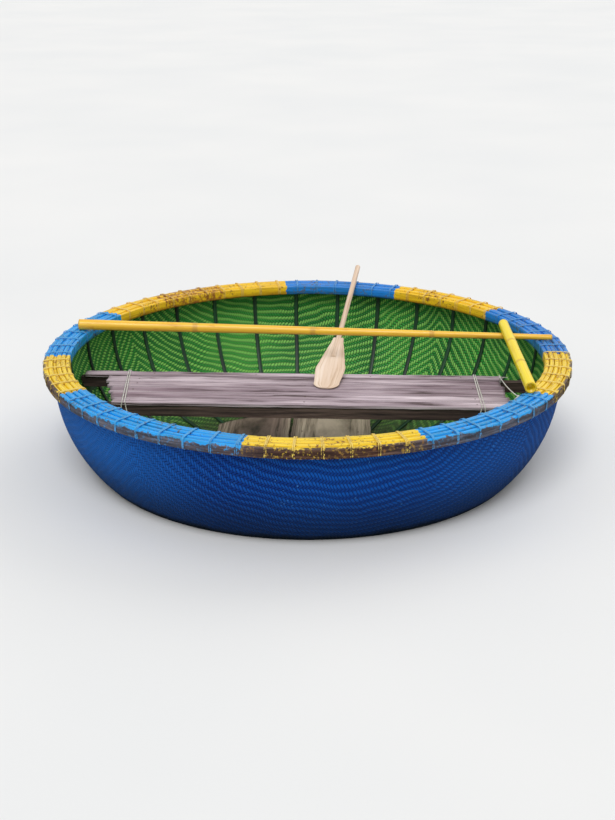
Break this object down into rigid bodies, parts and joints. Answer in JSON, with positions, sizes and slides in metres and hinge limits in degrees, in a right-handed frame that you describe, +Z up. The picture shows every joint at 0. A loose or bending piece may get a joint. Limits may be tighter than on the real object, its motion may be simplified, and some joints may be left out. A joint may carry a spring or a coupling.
{
  "type": "round woven basket boat (coracle)",
  "caption": "Round woven bamboo basket boat, painted blue outside and green inside, with a lashed lath rim, slatted bench, floor boards, poles and a paddle.",
  "frame": {"origin": "centre of the waterline plane, on the hull's own axis, where the boat floats level", "axes": "+X along the bench towards the short bar, +Y towards the side where the paddle leans, +Z up out of the water"},
  "size_m": [2.0046, 2.0548, 0.6432],
  "materials": {
    "hull_weave": "blue outside and green inside, worn gloss paint over tarred bamboo weave",
    "rim_paint": "worn gloss paint in yellow and sky-blue stretches over bamboo laths and lashings",
    "green_bamboo": "dark green paint over split bamboo",
    "bench_wood": "weathered, unpainted wood",
    "cord": "white laid cord",
    "floor_wood": "grey-brown wet-stained wood",
    "golden_bamboo": "dried golden bamboo with its natural gloss",
    "yellow_bamboo": "lemon-yellow gloss paint over bamboo",
    "paddle_wood": "pale bare wood"
  },
  "bodies": {
    "root": {"hull": "hull_weave", "rim_inner_lath_1": "rim_paint", "rim_inner_lath_2": "rim_paint", "rim_inner_lath_3": "rim_paint", "rim_outer_lath_1": "rim_paint", "rim_outer_lath_2": "rim_paint", "rim_lashings": "rim_paint", "ribs": "green_bamboo", "bearer_cleats": "green_bamboo", "bearer_left": "bench_wood", "bearer_right": "bench_wood", "bench_front_beam": "bench_wood", "bench_rear_beam": "bench_wood", "bench_batten_left": "bench_wood", "bench_batten_middle": "bench_wood", "bench_batten_right": "bench_wood", "bench_slat_1": "bench_wood", "bench_slat_2": "bench_wood", "bench_slat_3": "bench_wood", "bench_slat_4": "bench_wood", "bench_slat_5": "bench_wood", "bench_rear_slat": "bench_wood", "bench_lashings": "cord", "floor_board_left": "floor_wood", "floor_board_right": "floor_wood", "floor_bearer_front": "floor_wood", "floor_bearer_middle": "floor_wood", "floor_bearer_rear": "floor_wood", "cross_pole": "golden_bamboo", "oar_bar": "yellow_bamboo", "paddle_shaft": "paddle_wood", "paddle_blade": "paddle_wood"}
  },
  "joints": []
}
